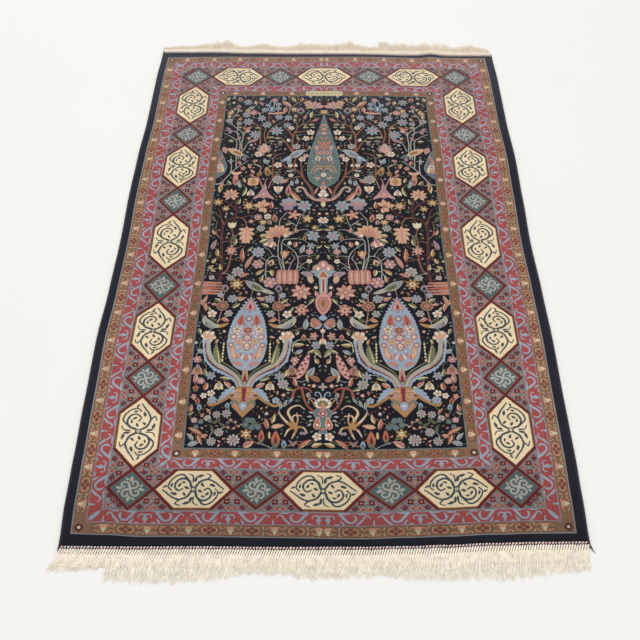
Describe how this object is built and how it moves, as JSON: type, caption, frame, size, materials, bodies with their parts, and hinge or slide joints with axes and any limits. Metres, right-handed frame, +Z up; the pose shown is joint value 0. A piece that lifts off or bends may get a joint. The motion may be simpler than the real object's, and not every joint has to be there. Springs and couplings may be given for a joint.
{
  "type": "persian rug",
  "caption": "Hand-knotted floor rug lying flat, with overcast side cords, a twined band across each end and a knotted warp fringe at both ends.",
  "frame": {"origin": "the middle of the carpet's flat underside, on the floor", "axes": "+Z up out of the pile, +Y along the length from the near end to the far end, +X across to the right side"},
  "size_m": [1.2498, 2.0404, 0.0129],
  "materials": {
    "knotted_wool": "clipped wool pile, matt with a soft sheen",
    "navy_wool": "overcast wool yarn, matt",
    "twined_cotton": "twined cotton and wool yarn, matt",
    "warp_cotton": "loose undyed cotton yarn, matt"
  },
  "bodies": {
    "root": {"carpet": "knotted_wool", "side_cord_left": "navy_wool", "side_cord_right": "navy_wool", "twined_band_near": "twined_cotton", "twined_band_far": "twined_cotton", "fringe_near": "warp_cotton", "fringe_far": "warp_cotton"}
  },
  "joints": []
}
